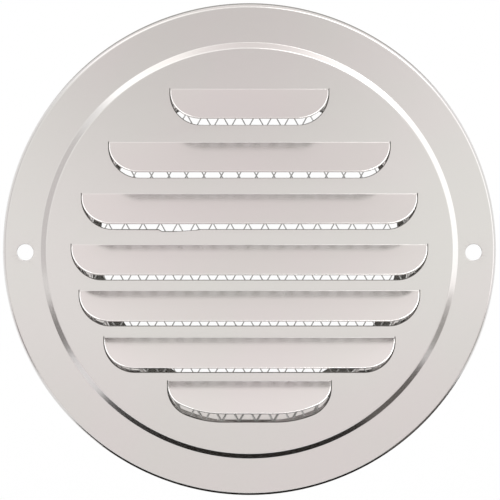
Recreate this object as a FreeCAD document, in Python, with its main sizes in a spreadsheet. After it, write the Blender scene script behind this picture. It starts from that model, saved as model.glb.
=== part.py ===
# Round stainless vent cover for a wall duct, in millimetres.
# The front faces -Y, +Z is up, and the origin is on the duct's axis in the plane of the wall.
# Three pieces: a pressed faceplate with lanced louvres, an insect screen of crossing wires
# behind it, and the flanged collar that clamps the screen and enters the duct.
import FreeCAD
import Part
import Sketcher
import math
import os

DIMENSIONS = {
    # Faceplate blank
    "plate_diameter": 150.0,
    "sheet_gauge": 0.6,
    "rim_depth": 2.8,
    "rim_flare": 12.0,
    "rim_bend": 0.6,
    "step_top_diameter": 122.8,
    "step_run": 1.75,
    "step_rise": 0.9,
    "step_bend": 0.6,
    "screw_edge_margin": 7.15,
    "screw_hole_diameter": 5.0,
    # Louvres: seven flaps, numbered from the top, each a pitch above the next
    "louvre_angle": 33.0,
    "louvre_bend": 0.5,
    "slot_height": 10.85,
    "slot_corner": 9.4,
    "flap_side_gap": 0.45,
    "flap_end_gap": 0.5,
    "pitch_1": 15.9,
    "pitch_2": 15.5,
    "pitch_3": 15.35,
    "pitch_4": 13.95,
    "pitch_5": 14.2,
    "pitch_6": 13.35,
    "half_width_1": 23.8,
    "half_width_2": 42.3,
    "half_width_3": 50.6,
    "half_width_4": 53.8,
    "half_width_5": 51.5,
    "half_width_6": 44.1,
    "half_width_7": 24.85,
    # The lowest louvre is bowl-shaped: a flat, two wide curves and two corners
    "field_foot": 51.7,
    "bowl_radius": 30.0,
    "bowl_flat": 16.0,
    "bowl_slot_height": 12.75,
    "bowl_corner": 9.0,
    "bowl_trim": 1.7,
    # Dent in the lip under the third louvre
    "dent_centre": -21.35,
    "dent_width": 12.1,
    "dent_depth": 0.7,
    "dent_end_slope": 1.0,
    # Insect screen
    "screen_margin": 0.5,
    "wire_gauge": 0.35,
    "mesh_width": 5.27,
    "mesh_height": 9.4,
    "mesh_shift_x": 2.1,
    "mesh_shift_z": -5.06,
    # Duct collar
    "collar_diameter": 97.5,
    "collar_gauge": 0.5,
    "collar_reach": 36.0,
    "collar_bend": 0.6,
    "collar_floor_width": 4.25,
    "collar_land_width": 2.0,
    "collar_step_run": 0.7,
    "collar_step_depth": 1.2,
}

LOUVRES = ("1", "2", "3", "4", "5", "6", "7")
BOWL_LOUVRE = LOUVRES[-1]
DENTED_LOUVRE = LOUVRES[2]

# Depths along Y, measured from the wall plane
PANEL_FRONT = "-(dims.rim_depth + dims.step_rise)"
PANEL_BACK = "(%s + dims.sheet_gauge)" % PANEL_FRONT
FLANGE_FRONT = "-dims.rim_depth"
FLANGE_BACK = "(%s + dims.sheet_gauge)" % FLANGE_FRONT
SCREEN_BACK = "(%s + 2 * dims.wire_gauge)" % PANEL_BACK

# Radii from the duct's axis outwards
TUBE_OUTSIDE = "(dims.collar_diameter / 2)"
SEAT_EDGE = "(%s + dims.collar_floor_width)" % TUBE_OUTSIDE
LAND_EDGE = "(%s + dims.collar_land_width)" % SEAT_EDGE
SCREEN_EDGE = "(%s - dims.screen_margin)" % LAND_EDGE

FIELD_FOOT = "-dims.field_foot"
HALF_FLAT = "(dims.bowl_flat / 2)"
LOUVRE_ANGLE = "(dims.louvre_angle * 1 deg)"
RIGHT_ANGLE = "90 deg"
MATCH = 1e-4

doc = FreeCAD.newDocument("round_vent_cover")
dims = doc.addObject("Spreadsheet::Sheet", "dims")
for line, (alias, size) in enumerate(DIMENSIONS.items(), 1):
    dims.set("A%d" % line, alias)
    dims.set("B%d" % line, str(size))
    dims.setAlias("B%d" % line, alias)
doc.recompute()


def measure(expression):
    """Gives the number that an expression on the sheet stands for."""
    return float(dims.evalExpression(expression))


def origin_plane(body, role):
    """Finds one of a body's own origin planes."""
    return next(plane for plane in body.Origin.OriginFeatures if plane.Role == role)


def new_body(label):
    """Starts a sub-part as a body of the document."""
    body = doc.addObject("PartDesign::Body", label.title().replace("_", ""))
    body.Label = label
    return body


def new_sketch(body, name, role):
    """Starts a sketch on one of the body's origin planes."""
    sketch = body.newObject("Sketcher::SketchObject", name)
    sketch.AttachmentSupport = (origin_plane(body, role), [""])
    sketch.MapMode = "FlatFace"
    return sketch


def bind(sketch, constraint, expression):
    """Adds a constraint whose value follows the sheet."""
    index = sketch.addConstraint(constraint)
    sketch.setExpression("Constraints[%d]" % index, expression)


def pin(sketch, kind, geometry, position, expression):
    """Fixes one coordinate of a point, measured from the sketch's origin."""
    size = measure(expression)
    if size < 0:
        constraint = Sketcher.Constraint(kind, geometry, position, -1, 1, -size)
        bind(sketch, constraint, "-(%s)" % expression)
    else:
        bind(sketch, Sketcher.Constraint(kind, -1, 1, geometry, position, size), expression)


def pin_point(sketch, geometry, position, x, y):
    """Fixes both coordinates of a point."""
    pin(sketch, "DistanceX", geometry, position, x)
    pin(sketch, "DistanceY", geometry, position, y)


def meet(sketch, first, second, kind="Coincident"):
    """Joins two (geometry, position) ends."""
    sketch.addConstraint(Sketcher.Constraint(kind, *first, *second))


def add_line(sketch, start, end):
    """Draws a line between two points."""
    return sketch.addGeometry(Part.LineSegment(FreeCAD.Vector(*start, 0), FreeCAD.Vector(*end, 0)), False)


def add_arc(sketch, centre, radius, start_angle, end_angle):
    """Draws an arc, anticlockwise, with its angles in radians."""
    circle = Part.Circle(FreeCAD.Vector(*centre, 0), FreeCAD.Vector(0, 0, 1), radius)
    return sketch.addGeometry(Part.ArcOfCircle(circle, start_angle, end_angle), False)


def draw_polygon(sketch, corners):
    """Draws a closed outline whose corners are pairs of expressions."""
    points = [(measure(x), measure(y)) for x, y in corners]
    sides = [add_line(sketch, start, end) for start, end in zip(points, points[1:] + points[:1])]
    for side, following, (x, y) in zip(sides, sides[1:] + sides[:1], corners):
        meet(sketch, (side, 2), (following, 1))
        pin_point(sketch, side, 1, x, y)


def draw_tongue(sketch, half_width, top, bottom, corner):
    """Draws a flap's outline: straight on top, with its two lower corners rounded."""
    wide, high, low, round_off = (measure(size) for size in (half_width, top, bottom, corner))
    inset = wide - round_off
    turn = low + round_off
    upper = add_line(sketch, (-wide, high), (wide, high))
    right = add_line(sketch, (wide, high), (wide, turn))
    right_arc = add_arc(sketch, (inset, turn), round_off, -math.pi / 2, 0)
    lower = add_line(sketch, (inset, low), (-inset, low))
    left_arc = add_arc(sketch, (-inset, turn), round_off, math.pi, 1.5 * math.pi)
    left = add_line(sketch, (-wide, turn), (-wide, high))
    meet(sketch, (upper, 2), (right, 1))
    meet(sketch, (right, 2), (right_arc, 2), "Tangent")
    meet(sketch, (right_arc, 1), (lower, 1), "Tangent")
    meet(sketch, (lower, 2), (left_arc, 2), "Tangent")
    meet(sketch, (left_arc, 1), (left, 1), "Tangent")
    meet(sketch, (left, 2), (upper, 1))
    for side in (right, left):
        sketch.addConstraint(Sketcher.Constraint("Vertical", side))
    sketch.addConstraint(Sketcher.Constraint("Horizontal", lower))
    for arc in (right_arc, left_arc):
        bind(sketch, Sketcher.Constraint("Radius", arc, round_off), corner)
    pin_point(sketch, upper, 1, "-(%s)" % half_width, top)
    pin_point(sketch, upper, 2, half_width, top)
    pin(sketch, "DistanceY", lower, 1, bottom)


def draw_bowl(sketch, half_width, top, bottom, corner, half_flat, radius):
    """Draws the lowest flap's outline: a flat below and, on each side, a wide curve that ends in a corner."""
    wide, high, low = (measure(size) for size in (half_width, top, bottom))
    round_off, level, curve = (measure(size) for size in (corner, half_flat, radius))
    inset = wide - round_off
    middle = low + curve
    turn = middle - math.sqrt((curve - round_off) ** 2 - (inset - level) ** 2)
    lean = math.atan2(turn - middle, inset - level)
    upper = add_line(sketch, (-wide, high), (wide, high))
    right = add_line(sketch, (wide, high), (wide, turn))
    right_corner = add_arc(sketch, (inset, turn), round_off, lean, 0)
    right_curve = add_arc(sketch, (level, middle), curve, -math.pi / 2, lean)
    lower = add_line(sketch, (level, low), (-level, low))
    left_curve = add_arc(sketch, (-level, middle), curve, -math.pi - lean, -math.pi / 2)
    left_corner = add_arc(sketch, (-inset, turn), round_off, -math.pi, -math.pi - lean)
    left = add_line(sketch, (-wide, turn), (-wide, high))
    meet(sketch, (upper, 2), (right, 1))
    meet(sketch, (right, 2), (right_corner, 2), "Tangent")
    meet(sketch, (right_corner, 1), (right_curve, 2), "Tangent")
    meet(sketch, (right_curve, 1), (lower, 1), "Tangent")
    meet(sketch, (lower, 2), (left_curve, 2), "Tangent")
    meet(sketch, (left_curve, 1), (left_corner, 2), "Tangent")
    meet(sketch, (left_corner, 1), (left, 1), "Tangent")
    meet(sketch, (left, 2), (upper, 1))
    for side in (right, left):
        sketch.addConstraint(Sketcher.Constraint("Vertical", side))
    for arc in (right_corner, left_corner):
        bind(sketch, Sketcher.Constraint("Radius", arc, round_off), corner)
    for arc in (right_curve, left_curve):
        bind(sketch, Sketcher.Constraint("Radius", arc, curve), radius)
    pin_point(sketch, upper, 1, "-(%s)" % half_width, top)
    pin_point(sketch, upper, 2, half_width, top)
    pin_point(sketch, lower, 1, half_flat, bottom)
    pin_point(sketch, lower, 2, "-(%s)" % half_flat, bottom)


def revolve(body, sketch, name):
    """Spins a section about the duct's axis, which is the sketch's upright axis."""
    feature = body.newObject("PartDesign::Revolution", name)
    feature.Profile = sketch
    feature.ReferenceAxis = (sketch, ["V_Axis"])
    feature.Angle = 360
    doc.recompute()
    return feature


def find_rings(base, rings):
    """Names the circular edges that lie at the given radii and places along Y."""
    wanted = [(measure(radius), measure(place)) for radius, place in rings]
    names = []
    for number, edge in enumerate(base.Shape.Edges, 1):
        if isinstance(edge.Curve, Part.Circle):
            ring = (edge.Curve.Radius, edge.Curve.Center.y)
            if any(math.dist(ring, place) < MATCH for place in wanted):
                names.append("Edge%d" % number)
    return names


def round_rings(body, name, rings, radius):
    """Rounds circular edges, each given by its radius and its place along Y."""
    base = body.Tip
    fillet = body.newObject("PartDesign::Fillet", name)
    fillet.Base = (base, find_rings(base, rings))
    fillet.setExpression("Radius", radius)
    doc.recompute()


def flatten_rings(body, name, rings, setback):
    """Takes circular edges off with a flat that starts a setback away from them."""
    base = body.Tip
    chamfer = body.newObject("PartDesign::Chamfer", name)
    chamfer.Base = (base, find_rings(base, rings))
    chamfer.setExpression("Size", setback)
    doc.recompute()


def fold_rings(body, name, outside, inside, bend, gauge, turn):
    """Makes each sharp bend two half bends with a flat between, round which the sheet keeps its gauge."""
    inner = "%s * tan(%s / 2)" % (bend, turn)
    outer = "%s + %s * (tan(%s / 2) - tan(%s / 4))" % (inner, gauge, turn, turn)
    flatten_rings(body, name + "Inside", inside, inner)
    flatten_rings(body, name + "Outside", outside, outer)


def cut_through(body, sketch, name):
    """Cuts an outline right through the sheet, both ways along Y."""
    before = body.Shape.Volume
    pocket = body.newObject("PartDesign::Pocket", name)
    pocket.Profile = sketch
    pocket.Type = "ThroughAll"
    pocket.Midplane = True
    doc.recompute()
    if body.Shape.Volume >= before:
        raise RuntimeError("%s cuts nothing" % name)


def bend_height(row):
    """Height of a flap's bend line, with the pitches added up from the foot of the louvre field."""
    pitches = ["dims.pitch_%s" % lower for lower in LOUVRES[LOUVRES.index(row):-1]]
    return "(%s)" % " + ".join([FIELD_FOOT, "dims.bowl_slot_height"] + pitches)


def slot_bottom(row):
    """Height of a slot's lower edge."""
    if row == BOWL_LOUVRE:
        return FIELD_FOOT
    return "(%s - dims.slot_height)" % bend_height(row)


def cut_slots(body):
    """Cuts the seven slots that the flaps are lanced out of."""
    for row in LOUVRES:
        sketch = new_sketch(body, "SlotOutline" + row, "XZ_Plane")
        half_width = "dims.half_width_" + row
        top = bend_height(row)
        bottom = slot_bottom(row)
        if row == BOWL_LOUVRE:
            draw_bowl(sketch, half_width, top, bottom, "dims.bowl_corner", HALF_FLAT, "dims.bowl_radius")
        else:
            draw_tongue(sketch, half_width, top, bottom, "dims.slot_corner")
        cut_through(body, sketch, "Slot" + row)


def cut_dent(body):
    """Cuts the shallow dent in the lip under one louvre, with sloping ends."""
    lip = slot_bottom(DENTED_LOUVRE)
    left = "(dims.dent_centre - dims.dent_width / 2)"
    right = "(dims.dent_centre + dims.dent_width / 2)"
    above = "%s + dims.dent_depth" % lip
    below = "%s - dims.dent_depth" % lip
    sketch = new_sketch(body, "DentOutline", "XZ_Plane")
    draw_polygon(sketch, [
        ("%s - dims.dent_end_slope" % left, above),
        ("%s + dims.dent_end_slope" % left, below),
        ("%s - dims.dent_end_slope" % right, below),
        ("%s + dims.dent_end_slope" % right, above),
    ])
    cut_through(body, sketch, "Dent")


def drill_screw_holes(body):
    """Drills the two screw holes, left and right in the flange."""
    sketch = new_sketch(body, "ScrewHoleOutline", "XZ_Plane")
    for sign in ("-", ""):
        place = "%s(dims.plate_diameter / 2 - dims.screw_edge_margin)" % sign
        middle = FreeCAD.Vector(measure(place), 0, 0)
        radius = measure("dims.screw_hole_diameter / 2")
        hole = sketch.addGeometry(Part.Circle(middle, FreeCAD.Vector(0, 0, 1), radius), False)
        pin_point(sketch, hole, 3, place, "0")
        bind(sketch, Sketcher.Constraint("Radius", hole, radius), "dims.screw_hole_diameter / 2")
    cut_through(body, sketch, "ScrewHoles")


def bend_flap(body, row):
    """Adds the curved root of a flap, which turns out of the panel below the slot's upper edge."""
    height = bend_height(row)
    inner = "dims.louvre_bend"
    outer = "(dims.louvre_bend + dims.sheet_gauge)"
    depth = "%s - dims.louvre_bend" % PANEL_FRONT
    angle = math.radians(measure("dims.louvre_angle"))
    middle = (measure(depth), measure(height))
    sketch = new_sketch(body, "BendSection" + row, "YZ_Plane")
    ends = {}
    arcs = {}
    for name, radius in (("front", inner), ("back", outer)):
        size = measure(radius)
        arcs[name] = add_arc(sketch, middle, size, -angle, 0)
        ends[name] = (middle[0] + size * math.cos(angle), middle[1] - size * math.sin(angle))
        bind(sketch, Sketcher.Constraint("Radius", arcs[name], size), radius)
        pin_point(sketch, arcs[name], 3, depth, height)
        pin(sketch, "DistanceY", arcs[name], 2, height)
        pin(sketch, "DistanceY", arcs[name], 1, "%s - %s * sin(%s)" % (height, radius, LOUVRE_ANGLE))
    front_start = (middle[0] + measure(inner), middle[1])
    back_start = (middle[0] + measure(outer), middle[1])
    root = add_line(sketch, front_start, back_start)
    tip = add_line(sketch, ends["front"], ends["back"])
    meet(sketch, (root, 1), (arcs["front"], 2))
    meet(sketch, (root, 2), (arcs["back"], 2))
    meet(sketch, (tip, 1), (arcs["front"], 1))
    meet(sketch, (tip, 2), (arcs["back"], 1))
    pad = body.newObject("PartDesign::Pad", "Bend" + row)
    pad.Profile = sketch
    pad.Midplane = True
    pad.setExpression("Length", "2 * (dims.half_width_%s - dims.flap_side_gap)" % row)
    doc.recompute()


def add_flap(body, row):
    """Adds the flat of a flap, which carries on from its curved root at the louvre's angle."""
    height = bend_height(row)
    bend_length = "(dims.louvre_bend + dims.sheet_gauge / 2) * dims.louvre_angle * pi / 180"
    half_width = "(dims.half_width_%s - dims.flap_side_gap)" % row
    sketch = new_sketch(body, "FlapOutline" + row, "XZ_Plane")
    tilt = FreeCAD.Rotation(FreeCAD.Vector(-1, 0, 0), measure("dims.louvre_angle"))
    sketch.AttachmentOffset = FreeCAD.Placement(FreeCAD.Vector(), tilt)
    root_height = "%s - dims.louvre_bend * sin(%s)" % (height, LOUVRE_ANGLE)
    root_depth = "-(%s) + dims.louvre_bend * (1 - cos(%s))" % (PANEL_FRONT, LOUVRE_ANGLE)
    sketch.setExpression("AttachmentOffset.Base.y", root_height)
    sketch.setExpression("AttachmentOffset.Base.z", root_depth)
    sketch.setExpression("AttachmentOffset.Rotation.Angle", "dims.louvre_angle")
    if row == BOWL_LOUVRE:
        bottom = "%s + dims.bowl_trim - dims.bowl_slot_height" % bend_length
        corner = "(dims.bowl_corner - dims.bowl_trim)"
        radius = "(dims.bowl_radius - dims.bowl_trim)"
        draw_bowl(sketch, half_width, "0", bottom, corner, HALF_FLAT, radius)
    else:
        bottom = "%s + dims.flap_end_gap - dims.slot_height" % bend_length
        draw_tongue(sketch, half_width, "0", bottom, "(dims.slot_corner - dims.flap_side_gap)")
    pad = body.newObject("PartDesign::Pad", "Flap" + row)
    pad.Profile = sketch
    pad.Reversed = True
    pad.setExpression("Length", "dims.sheet_gauge")
    doc.recompute()


def make_faceplate():
    """Presses the round plate: raised panel, flange and turned-back rim, then lances the louvres."""
    body = new_body("faceplate")
    rim_edge = "dims.plate_diameter / 2"
    rim_slope = "tan(dims.rim_flare * 1 deg)"
    rim_front = "%s - dims.rim_depth * %s" % (rim_edge, rim_slope)
    rim_inside = "%s - dims.sheet_gauge - (dims.rim_depth - dims.sheet_gauge) * %s" % (rim_edge, rim_slope)
    step_top = "dims.step_top_diameter / 2"
    step_foot = "(%s + dims.step_run)" % step_top
    step_turn = "atan2(dims.step_rise; dims.step_run)"
    rim_turn = "(90 deg - dims.rim_flare * 1 deg)"
    section = new_sketch(body, "PlateSection", "XY_Plane")
    draw_polygon(section, [
        ("0", PANEL_FRONT),
        (step_top, PANEL_FRONT),
        (step_foot, FLANGE_FRONT),
        (rim_front, FLANGE_FRONT),
        (rim_edge, "0"),
        ("%s - dims.sheet_gauge" % rim_edge, "0"),
        (rim_inside, FLANGE_BACK),
        (step_foot, FLANGE_BACK),
        (step_top, PANEL_BACK),
        ("0", PANEL_BACK),
    ])
    revolve(body, section, "Blank")
    round_rings(body, "RimOutside", [(rim_front, FLANGE_FRONT)], "dims.rim_bend + dims.sheet_gauge")
    flatten_rings(body, "RimInside", [(rim_inside, FLANGE_BACK)], "dims.rim_bend * tan(%s / 2)" % rim_turn)
    step_outside = [(step_top, PANEL_FRONT), (step_foot, FLANGE_BACK)]
    step_inside = [(step_foot, FLANGE_FRONT), (step_top, PANEL_BACK)]
    fold_rings(body, "Step", step_outside, step_inside, "dims.step_bend", "dims.sheet_gauge", step_turn)
    cut_slots(body)
    cut_dent(body)
    drill_screw_holes(body)
    for row in LOUVRES:
        bend_flap(body, row)
        add_flap(body, row)
    return body


def make_collar():
    """Spins the collar: a land that clamps the screen, a step back, and the tube into the duct."""
    body = new_body("duct_collar")
    tube_inside = "(%s - dims.collar_gauge)" % TUBE_OUTSIDE
    step_end = "(%s - dims.collar_step_run)" % SEAT_EDGE
    land_front = SCREEN_BACK
    land_back = "(%s + dims.collar_gauge)" % SCREEN_BACK
    floor_front = "(%s + dims.collar_step_depth)" % SCREEN_BACK
    floor_back = "(%s + dims.collar_gauge)" % floor_front
    section = new_sketch(body, "CollarSection", "XY_Plane")
    draw_polygon(section, [
        (tube_inside, floor_front),
        (step_end, floor_front),
        (SEAT_EDGE, land_front),
        (LAND_EDGE, land_front),
        (LAND_EDGE, land_back),
        (SEAT_EDGE, land_back),
        (step_end, floor_back),
        (TUBE_OUTSIDE, floor_back),
        (TUBE_OUTSIDE, "dims.collar_reach"),
        (tube_inside, "dims.collar_reach"),
    ])
    revolve(body, section, "Spigot")
    mouth = [(tube_inside, floor_front)]
    root = [(TUBE_OUTSIDE, floor_back)]
    fold_rings(body, "Mouth", mouth, root, "dims.collar_bend", "dims.collar_gauge", RIGHT_ANGLE)
    return body


def lay_wires(name, lean_sign, depth):
    """Lays one layer of parallel screen wires, leaning one way."""
    lean = "atan2(dims.mesh_width; dims.mesh_height)"
    spacing = "(dims.mesh_width * cos(%s))" % lean
    knot = "(dims.mesh_shift_x * cos(%s) %s dims.mesh_shift_z * sin(%s))"
    phase = knot % (lean, "-" if lean_sign > 0 else "+", lean)
    reach = measure(SCREEN_EDGE)
    first = math.ceil((-reach - measure(phase)) / measure(spacing))
    last = math.floor((reach - measure(phase)) / measure(spacing))
    wires = []
    for number in range(first, last + 1):
        wire = doc.addObject("Part::Box", "%sWire%d" % (name, len(wires) + 1))
        across = "(%s + %d * %s - dims.wire_gauge / 2)" % (phase, number, spacing)
        turn = FreeCAD.Rotation(FreeCAD.Vector(0, lean_sign, 0), measure(lean))
        wire.Placement = FreeCAD.Placement(FreeCAD.Vector(), turn)
        sideways = "%s * cos(%s) - %d * %s * sin(%s)"
        upwards = "-%d * %s * sin(%s) - %s * cos(%s)"
        wire.setExpression("Length", "dims.wire_gauge")
        wire.setExpression("Width", "dims.wire_gauge")
        wire.setExpression("Height", "2 * %s" % SCREEN_EDGE)
        wire.setExpression("Placement.Rotation.Angle", lean)
        wire.setExpression("Placement.Base.x", sideways % (across, lean, lean_sign, SCREEN_EDGE, lean))
        wire.setExpression("Placement.Base.y", depth)
        wire.setExpression("Placement.Base.z", upwards % (lean_sign, across, lean, SCREEN_EDGE, lean))
        wires.append(wire)
    return wires


def make_screen():
    """Lays two crossing layers of wires behind the panel and trims them to a disc."""
    wires = lay_wires("Rising", 1, PANEL_BACK)
    wires += lay_wires("Falling", -1, "%s + dims.wire_gauge" % PANEL_BACK)
    mat = doc.addObject("Part::Compound", "WireMat")
    mat.Links = wires
    disc = doc.addObject("Part::Cylinder", "ScreenDisc")
    disc.Placement = FreeCAD.Placement(FreeCAD.Vector(), FreeCAD.Rotation(FreeCAD.Vector(-1, 0, 0), 90))
    disc.setExpression("Radius", SCREEN_EDGE)
    disc.setExpression("Height", "2 * dims.wire_gauge")
    disc.setExpression("Placement.Base.y", PANEL_BACK)
    screen = doc.addObject("Part::Common", "InsectScreen")
    screen.Base = mat
    screen.Tool = disc
    screen.Label = "insect_screen"
    doc.recompute()
    return screen


def check(pieces):
    """Stops before anything is written if an object failed or a shape is not sound."""
    for item in doc.Objects:
        if "Invalid" in item.State or "Error" in item.State:
            raise RuntimeError("%s failed: %s" % (item.Label, item.State))
    for piece in pieces:
        if piece.Shape.isNull() or not piece.Shape.isValid():
            raise RuntimeError("%s has no sound shape" % piece.Label)


pieces = [make_faceplate(), make_screen(), make_collar()]
doc.recompute()
check(pieces)
os.makedirs("parts", exist_ok=True)
for piece in pieces:
    piece.Shape.exportStep("parts/%s.step" % piece.Label)
    box = piece.Shape.BoundBox
    print(piece.Label, len(piece.Shape.Solids), "solids,", round(piece.Shape.Volume, 1), "mm3,", box)
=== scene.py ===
# Round louvred vent cover: its sheet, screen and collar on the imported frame, in a white studio.
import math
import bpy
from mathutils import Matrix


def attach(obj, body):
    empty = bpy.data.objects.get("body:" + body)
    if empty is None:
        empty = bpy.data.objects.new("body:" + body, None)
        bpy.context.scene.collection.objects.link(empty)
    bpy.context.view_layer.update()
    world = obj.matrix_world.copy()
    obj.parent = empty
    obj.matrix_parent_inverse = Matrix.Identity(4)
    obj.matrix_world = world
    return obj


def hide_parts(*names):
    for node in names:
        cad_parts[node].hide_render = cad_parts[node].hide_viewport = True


bl_info = {
    "name": "Round Vent Cover",
    "version": (1, 0, 0),
    "blender": (4, 5, 0),
    "location": "View3D > Sidebar > Vent Cover",
    "description": "Models a round louvred vent cover and the white studio that shows it",
    "category": "Mesh",
}

import bmesh
import bpy
from bpy.props import FloatProperty, FloatVectorProperty, IntProperty, PointerProperty
from mathutils import Vector

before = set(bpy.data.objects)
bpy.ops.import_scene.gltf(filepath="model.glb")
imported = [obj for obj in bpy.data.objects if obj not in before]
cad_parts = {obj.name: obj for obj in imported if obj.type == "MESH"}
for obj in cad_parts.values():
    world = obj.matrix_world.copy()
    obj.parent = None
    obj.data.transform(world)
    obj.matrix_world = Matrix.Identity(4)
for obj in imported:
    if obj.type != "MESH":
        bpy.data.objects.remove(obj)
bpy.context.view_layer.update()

MM = 0.001
BODY = "root"
ACROSS = Vector((1, 0, 0))
INTO_DUCT = Vector((0, 1, 0))
UPWARDS = Vector((0, 0, 1))
FRONT = Vector((0, -1, 0))
TOUCH = 1e-6
SEED = 1 * MM
SHARP = math.radians(40)
EASE_STEPS = 3


class FaceplateSizes(bpy.types.PropertyGroup):
    """Sizes of the pressed and lanced faceplate"""

    diameter: FloatProperty(
        name="Diameter", description="Across the rim's rear edge", default=150 * MM, unit="LENGTH")
    gauge: FloatProperty(
        name="Gauge", description="Thickness of the sheet", default=0.6 * MM, unit="LENGTH")
    rim_depth: FloatProperty(
        name="Rim Depth", description="From the wall to the flange's front", default=2.8 * MM, unit="LENGTH")
    rim_flare: FloatProperty(
        name="Rim Flare", description="Lean of the rim off the duct's axis",
        default=math.radians(12), subtype="ANGLE")
    rim_bend: FloatProperty(
        name="Rim Bend", description="Radius of the rim's bend in front", default=1.2 * MM, unit="LENGTH")
    step_diameter: FloatProperty(
        name="Step Diameter", description="Across the top of the raised panel's step",
        default=122.8 * MM, unit="LENGTH")
    step_run: FloatProperty(
        name="Step Run", description="Width of the step's slope", default=1.75 * MM, unit="LENGTH")
    step_rise: FloatProperty(
        name="Step Rise", description="Height of the panel above the flange", default=0.9 * MM, unit="LENGTH")
    step_bend: FloatProperty(
        name="Step Bend", description="Radius of the step's hollow bend", default=0.6 * MM, unit="LENGTH")
    screw_margin: FloatProperty(
        name="Screw Margin", description="From the plate's edge to a screw hole's centre",
        default=7.15 * MM, unit="LENGTH")
    screw_hole: FloatProperty(
        name="Screw Hole", description="Diameter of the screw holes", default=5 * MM, unit="LENGTH")
    edge_ease: FloatProperty(
        name="Edge Ease", description="Width of the rounding on cut edges", default=0.14 * MM, unit="LENGTH")
    lip_ease: FloatProperty(
        name="Lip Ease", description="Width of the rounding on the slots' lips",
        default=0.2 * MM, unit="LENGTH")


class LouvreSizes(bpy.types.PropertyGroup):
    """Sizes of the seven flaps, listed from the top"""

    angle: FloatProperty(
        name="Angle", description="How far the flaps are bent out", default=math.radians(33), subtype="ANGLE")
    bend: FloatProperty(
        name="Bend", description="Radius of a flap's bend in front", default=0.5 * MM, unit="LENGTH")
    slot_height: FloatProperty(
        name="Slot Height", description="From a bend line to its slot's lower edge",
        default=10.85 * MM, unit="LENGTH")
    slot_corner: FloatProperty(
        name="Slot Corner", description="Radius of a slot's lower corners", default=9.4 * MM, unit="LENGTH")
    side_gap: FloatProperty(
        name="Side Gap", description="Gap beside a flap", default=0.12 * MM, unit="LENGTH")
    end_gap: FloatProperty(
        name="End Gap", description="How much shorter a flap is than its slot",
        default=0.35 * MM, unit="LENGTH")
    pitches: FloatVectorProperty(
        name="Pitches", description="From each bend line down to the next", size=6, unit="LENGTH",
        default=(15.9 * MM, 15.5 * MM, 15.35 * MM, 13.95 * MM, 14.2 * MM, 13.35 * MM))
    half_widths: FloatVectorProperty(
        name="Half Widths", description="Half the width of each slot", size=7, unit="LENGTH",
        default=(23.8 * MM, 42.3 * MM, 50.6 * MM, 53.8 * MM, 51.5 * MM, 44.1 * MM, 24.85 * MM))
    field_foot: FloatProperty(
        name="Field Foot", description="From the duct's axis down to the lowest slot's lower edge",
        default=51.7 * MM, unit="LENGTH")
    bowl_radius: FloatProperty(
        name="Bowl Radius", description="Radius of the lowest slot's wide curves",
        default=30 * MM, unit="LENGTH")
    bowl_flat: FloatProperty(
        name="Bowl Flat", description="Width of the lowest slot's flat", default=16 * MM, unit="LENGTH")
    bowl_height: FloatProperty(
        name="Bowl Height", description="Height of the lowest slot", default=12.75 * MM, unit="LENGTH")
    bowl_corner: FloatProperty(
        name="Bowl Corner", description="Radius of the lowest slot's corners", default=9 * MM, unit="LENGTH")
    bowl_trim: FloatProperty(
        name="Bowl Trim", description="How much shorter the lowest flap is than its slot",
        default=1.7 * MM, unit="LENGTH")
    roll_width: FloatProperty(
        name="Roll Width", description="Width of the die roll along a flap's edge",
        default=0.3 * MM, unit="LENGTH")
    roll_depth: FloatProperty(
        name="Roll Depth", description="How far the die roll turns back", default=0.06 * MM, unit="LENGTH")
    dent_row: IntProperty(
        name="Dented Row", description="Slot, counted from the top, with the dent in its lip", default=3)
    dent_centre: FloatProperty(
        name="Dent Centre", description="Place of the dent along its lip", default=-21.35 * MM, unit="LENGTH")
    dent_width: FloatProperty(
        name="Dent Width", description="Width of the dent", default=12.1 * MM, unit="LENGTH")
    dent_depth: FloatProperty(
        name="Dent Depth", description="Depth of the dent", default=0.6 * MM, unit="LENGTH")
    dent_heel: FloatProperty(
        name="Dent Heel", description="Depth of the dent's shallow right end",
        default=0.25 * MM, unit="LENGTH")
    dent_slope: FloatProperty(
        name="Dent Slope", description="Width of each sloping end of the dent", default=1 * MM, unit="LENGTH")


class CollarSizes(bpy.types.PropertyGroup):
    """Sizes of the collar that enters the duct"""

    diameter: FloatProperty(
        name="Diameter", description="Outside of the tube", default=97.5 * MM, unit="LENGTH")
    gauge: FloatProperty(
        name="Gauge", description="Thickness of the collar's sheet", default=0.5 * MM, unit="LENGTH")
    reach: FloatProperty(
        name="Reach", description="From the wall to the tube's end", default=36 * MM, unit="LENGTH")
    mouth_bend: FloatProperty(
        name="Mouth Bend", description="Radius of the bend at the tube's mouth",
        default=1.1 * MM, unit="LENGTH")
    floor_width: FloatProperty(
        name="Floor Width", description="From the tube to the step", default=4.25 * MM, unit="LENGTH")
    land_width: FloatProperty(
        name="Land Width", description="Width of the land behind the screen", default=2 * MM, unit="LENGTH")
    step_run: FloatProperty(
        name="Step Run", description="Width of the step's slope", default=0.7 * MM, unit="LENGTH")
    step_depth: FloatProperty(
        name="Step Depth", description="From the land back to the floor", default=1.2 * MM, unit="LENGTH")
    edge_ease: FloatProperty(
        name="Edge Ease", description="Width of the rounding on edges", default=0.08 * MM, unit="LENGTH")


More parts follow.
